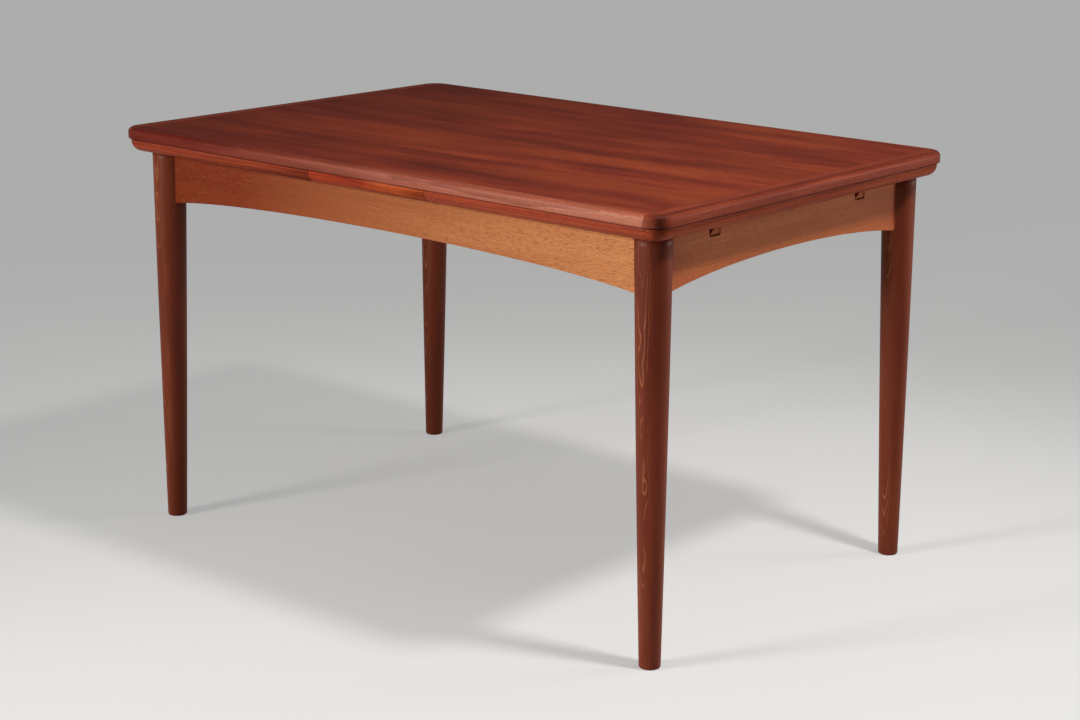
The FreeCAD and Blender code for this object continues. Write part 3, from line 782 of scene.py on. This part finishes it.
for side_name, side_x in (("left", -1), ("right", 1)):
    leaf_x = (leaf_inner_x, leaf_end_x) if side_x > 0 else (-leaf_end_x, -leaf_inner_x)
    leaf_shell = board_shell(leaf_x, leaf_half_width, leaf_z, leaf_rounds, False, (side_x < 0, side_x > 0))
    body = "leaf_" + side_name
    end_keep = plane_x(side_x * lip_x, -side_x)
    end_cut = plane_x(side_x * lip_x, side_x)
    lipping(body + "_end_strip", leaf_shell, [end_keep], leaf_lip_cross, body, body + "_end_lipping")
    for face_name, side_y in (("front", -1), ("back", 1)):
        side_keep = plane_y(side_y * leaf_lip_y, -side_y)
        lipping(
            body + "_" + face_name + "_strip", leaf_shell, [side_keep, end_cut], leaf_lip_long, body,
            body + "_" + face_name + "_lipping",
        )
    leaf_shell.free()
    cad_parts[body + "_panel"].material_slots[0].material = leaf_veneer

# Each leaf rides on two beech runners screwed under it, cut with a ramp that ends in a deeper tail.
# A peg through the tail of each runner stops the leaf against the bearer when it is drawn.
stop_peg_chamfer = 0.0012
dowel_sides = 32
runner_beech = wood(
    "runner_beech", "X", tone(150, 82, 45), tone(176, 99, 55), tone(196, 120, 72), tone(120, 62, 34),
    end_tone=(0.95, 0.82, 0.76, 1.0), rough=(0.42, 0.55), gloss=0.06, **beech_grain,
)
peg_beech = wood(
    "peg_beech", "Z", tone(172, 124, 80), tone(194, 148, 100), tone(212, 170, 122), tone(140, 96, 60),
    rough=(0.48, 0.62), **beech_grain,
)
for side_name in ("left", "right"):
    for face_name in ("front", "back"):
        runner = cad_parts["leaf_" + side_name + "_runner_" + face_name]
        runner.material_slots[0].material = runner_beech

dowel_tree, given = new_tree("chamfered_dowels", ("Radius", "Length", "Chamfer"))
tip_radius = figure(dowel_tree, "SUBTRACT", given["Radius"], given["Chamfer"])
shaft_length = figure(dowel_tree, "MULTIPLY_ADD", given["Chamfer"], -2.0, given["Length"])
high_tip_z = figure(dowel_tree, "SUBTRACT", given["Length"], given["Chamfer"])


def open_cone(tree, low_radius, high_radius, height):
    """The side of a cone or a cylinder, open at both ends."""
    return node_in(tree, "GeometryNodeMeshCone", (
        ("Vertices", dowel_sides), ("Radius Top", high_radius), ("Radius Bottom", low_radius),
        ("Depth", height),
    ), fill_type="NONE").outputs["Mesh"]


low_tip = open_cone(dowel_tree, tip_radius, given["Radius"], given["Chamfer"])
shaft = open_cone(dowel_tree, given["Radius"], given["Radius"], shaft_length)
high_tip = open_cone(dowel_tree, given["Radius"], tip_radius, given["Chamfer"])
end_disc = node_in(dowel_tree, "GeometryNodeMeshCircle", (
    ("Vertices", dowel_sides), ("Radius", tip_radius),
), fill_type="NGON").outputs["Mesh"]
low_disc = node_in(dowel_tree, "GeometryNodeFlipFaces", (("Mesh", end_disc),)).outputs[0]
dowel_parts = joined(dowel_tree, (
    low_disc, low_tip, raised(dowel_tree, shaft, given["Chamfer"]),
    raised(dowel_tree, high_tip, high_tip_z), raised(dowel_tree, end_disc, given["Length"]),
))
one_dowel = node_in(dowel_tree, "GeometryNodeMergeByDistance", (
    ("Geometry", dowel_parts), ("Distance", same_point),
))
set_on_marks(dowel_tree, given, one_dowel.outputs[0], aimed(dowel_tree))


def dowels(name, node, chamfer):
    """The pegs of a node as chamfered dowels, each from the lower end of its solid."""
    solids = [reach_of(points) for points in islands(node)]
    marks = []
    for low, high, axis in solids:
        base = (low + high) / 2
        base[axis] = low[axis]
        aim = Vector((0, 0, 0))
        aim[axis] = 1.0
        marks.append((base, aim))
    low, high, axis = solids[0]
    across = (axis + 1) % 3
    return grown(name, marks, dowel_tree, {
        "Radius": (high[across] - low[across]) / 2, "Length": high[axis] - low[axis], "Chamfer": chamfer,
        "Finish": peg_beech,
    }, peg_beech)


for side_name in ("left", "right"):
    node = "leaf_" + side_name + "_stop_pegs"
    pegs = dowels("leaf_" + side_name + "_stop_dowels", node, stop_peg_chamfer)
    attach(pegs, "leaf_" + side_name)
    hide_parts(node)

# The loose top is one veneered panel with a wide lipping across each end and a thin one along each side.
# Two beech pegs under it stand in holes through the middle board and keep it in place without fixing it.
top_low_z, top_high_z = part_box("top_panel")[0][2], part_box("top_panel")[1][2]
top_edge, top_ease, top_corner = 0.009, 0.0025, 0.036
top_lip_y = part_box("top_panel")[1][1]
guide_peg_chamfer = 0.002
# The right end strip's front and back faces are paled through their end-grain tone: a painted highlight that
# carries the lamp-lit band of the front lipping round the near corner.
plain_end, painted_lit_end = grey(1.0), (1.7, 2.4, 2.8, 1.0)
# The veneer darkens towards the left end: painted light falloff.
top_veneer = wood(
    "top_veneer", "X", tone(74, 25, 15), tone(111, 41, 25), tone(150, 67, 37), tone(58, 21, 12),
    sheet=0.160, ring=(0.006, 0.03, -0.62, 0.030, 4.5), darkening_along_x=(tone(226, 204, 199), 0.35, -0.55),
    rough=(0.42, 0.56), gloss=0.06, **veneer_grain,
)
# The long lippings are pale towards the right end and darker towards the left: a painted highlight and light
# falloff. Their upward-facing rounding is darkened as painted shade.
top_lip_long = wood(
    "top_lipping_long_grain", "X", tone(134, 72, 54), tone(170, 100, 77), tone(192, 123, 98),
    tone(98, 48, 35), streak=(6.0, 60.0), contrast=0.24, darkening_along_x=(tone(152, 85, 68), 0.50, -0.40),
    upward_painted_shade=(0.66, 0.52, 0.47, 1.0), rough=(0.42, 0.54), gloss=0.12, relief=0.12,
)
top_shell = board_shell(
    (-board_half_length, board_half_length), board_half_width, (top_low_z, top_high_z),
    (top_edge, top_ease, top_corner), True, (True, True),
)
# The right end strip gets the painted highlight on its front and back faces; the left one keeps plain end
# grain.
for side_name, side_x, end_tone in (("left", -1, plain_end), ("right", 1, painted_lit_end)):
    top_lip_cross = wood(
        "top_lipping_cross_grain_" + side_name, "Y", tone(92, 34, 21), tone(120, 49, 30), tone(146, 69, 43),
        tone(62, 24, 15), streak=(5.0, 50.0), contrast=0.24, mix=cross_grain_mix, joint=lip_x,
        shade_and_grime=(corner_shade_and_grime_tone, board_half_length, board_half_width, 0.75), end_tone=end_tone,
        rough=(0.44, 0.56), gloss=0.08, relief=0.12,
    )
    lipping(
        "top_end_strip_" + side_name, top_shell, [plane_x(side_x * lip_x, -side_x)], top_lip_cross, "top",
        "top_end_lipping_" + side_name,
    )
for face_name, side_y in (("front", -1), ("back", 1)):
    keeps = [plane_y(side_y * top_lip_y, -side_y), plane_x(lip_x, 1), plane_x(-lip_x, -1)]
    lipping(
        "top_side_strip_" + face_name, top_shell, keeps, top_lip_long, "top", "top_side_lipping_" + face_name,
    )
top_shell.free()
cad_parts["top_panel"].material_slots[0].material = top_veneer
for face_name in ("front", "back"):
    node = "top_guide_peg_" + face_name
    peg = dowels("top_guide_dowel_" + face_name, node, guide_peg_chamfer)
    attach(peg, "top")
    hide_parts(node)

# Four discs of green felt are glued on the middle board, so that the top lies on them and doesn't scrape.
# Each is punched from a sheet of wool felt, and is slightly crushed at its rim.
felt_sides = 48
felt_rim = ((0.985, 0.0), (1.0, 0.3), (0.99, 0.72), (0.955, 0.94), (0.9, 1.0))
felt, felt_tree, felt_shader = new_finish("wool_felt")
felt_mottle = mottle(felt_tree, 900.0, 5.0)
felt_colour = ramp(felt_tree, felt_mottle, [
    (0.3, tone(34, 58, 38)), (0.55, tone(58, 88, 62)), (0.75, tone(88, 116, 88)),
])
felt_tree.links.new(felt_colour, felt_shader["Base Color"])
felt_shader["Roughness"].default_value = 0.95
felt_shader["Sheen Weight"].default_value = 0.4
felt_bump = node_in(felt_tree, "ShaderNodeBump", (
    ("Strength", 0.6), ("Distance", 0.0004), ("Height", felt_mottle),
))
felt_tree.links.new(felt_bump.outputs["Normal"], felt_shader["Normal"])

felt_shape = bmesh.new()
for points in islands("felt_pads"):
    low, high, _ = reach_of(points)
    centre = (low + high) / 2
    radius = (high.x - low.x) / 2
    thick = high.z - low.z
    loops = []
    for radius_share, height_share in felt_rim:
        reach, z = radius * radius_share, low.z + thick * height_share
        angles = [math.tau * i / felt_sides for i in range(felt_sides)]
        loops.append([
            felt_shape.verts.new((centre.x + reach * math.cos(a), centre.y + reach * math.sin(a), z))
            for a in angles
        ])
    skin_between(felt_shape, loops, smooth=True)
    felt_shape.faces.new(list(reversed(loops[0])))
    felt_shape.faces.new(loops[-1])
felt_discs = piece_from("felt_discs", felt_shape, felt)
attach(felt_discs, "frame")
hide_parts("felt_pads")

# The studio has a plain pale floor, a soft lamp at the front left, a weaker one at the back right,
# a small one high at the right and a broad light from above.
# The camera stands to the right of the near leg and a little above the top, as in the photograph.
floor_half = 40
floor_own_glow = 0.32
air_light, air_seen_light = 0.12, 0.30
lamp_colour = (1.0, 0.97, 0.94)
floor_paint, floor_tree, floor_shader = new_finish("floor_paint")
floor_rays = node_in(floor_tree, "ShaderNodeLightPath").outputs
floor_seen = figure(floor_tree, "MAXIMUM", floor_rays["Is Camera Ray"], floor_rays["Is Glossy Ray"])
floor_glow = figure(floor_tree, "MULTIPLY", floor_seen, floor_own_glow)
floor_tree.links.new(floor_glow, floor_shader["Emission Strength"])
floor_shader["Base Color"].default_value = (0.36, 0.36, 0.355, 1.0)
floor_shader["Emission Color"].default_value = (1.0, 1.0, 0.99, 1.0)
floor_shader["Roughness"].default_value = 0.8
floor_shader["Specular IOR Level"].default_value = 0.1
floor_mesh = bpy.data.meshes.new("studio_floor")
floor_corners = [(x * floor_half, y * floor_half, 0) for x, y in ((-1, -1), (1, -1), (1, 1), (-1, 1))]
floor_mesh.from_pydata(floor_corners, [], [(0, 1, 2, 3)])
floor = linked_piece("studio_floor", floor_mesh, floor_paint)


def soft_spot(name, place, aim, radius, power, cone):
    """A soft lamp that fades towards the edge of its cone."""
    lamp = bpy.data.lights.new(name, "SPOT")
    lamp.shadow_soft_size = radius
    lamp.energy = power
    lamp.color = lamp_colour
    lamp.spot_size = math.radians(cone)
    lamp.spot_blend = 1.0
    stand = bpy.data.objects.new(name, lamp)
    stand.location = place
    stand.rotation_euler = (Vector(aim) - Vector(place)).to_track_quat("-Z", "Y").to_euler()
    bpy.context.collection.objects.link(stand)


soft_spot("front_light", (-1.3, -3.6, 1.5), aim=(0.85, -0.35, 0.55), radius=0.5, power=600.0, cone=70.0)
soft_spot("fill_light", (2.8, 3.0, 1.2), aim=(0.3, 0.0, 0.5), radius=0.6, power=200.0, cone=84.0)
soft_spot("right_light", (2.0, 0.1, 3.4), aim=(0.80, -0.45, 0.6), radius=0.22, power=420.0, cone=70.0)
sky = bpy.data.lights.new("ceiling_light", "SUN")
sky.energy = 0.45
sky.angle = math.radians(90)
ceiling = bpy.data.objects.new("ceiling_light", sky)
bpy.context.collection.objects.link(ceiling)
world = bpy.data.worlds.new("studio_air")
world.use_nodes = True
air = world.node_tree.nodes["Background"].inputs
air["Color"].default_value = (0.97, 0.98, 1.0, 1.0)
air_rays = node_in(world.node_tree, "ShaderNodeLightPath").outputs
air_strength = figure(world.node_tree, "MULTIPLY_ADD", air_rays["Is Camera Ray"], air_seen_light, air_light)
world.node_tree.links.new(air_strength, air["Strength"])
bpy.context.scene.world = world

photo_width, focal_in_pixels = 1080, 2227.7
camera_place = (2.5612, -2.9371, 1.3713)
camera_turn, camera_dip, camera_roll = math.radians(38.694), math.radians(15.132), math.radians(0.841)
lens = bpy.data.cameras.new("photo_camera")
lens.sensor_width = 36.0
lens.lens = focal_in_pixels / photo_width * lens.sensor_width
lens.shift_x, lens.shift_y = -0.0710, 0.0070
lens.clip_end = 200.0
camera = bpy.data.objects.new("photo_camera", lens)
camera.matrix_world = (
    Matrix.Translation(camera_place) @ Matrix.Rotation(camera_turn, 4, "Z")
    @ Matrix.Rotation(math.pi / 2 - camera_dip, 4, "X") @ Matrix.Rotation(camera_roll, 4, "Z")
)
bpy.context.collection.objects.link(camera)
bpy.context.scene.camera = camera
bpy.context.scene.view_settings.view_transform = "Standard"
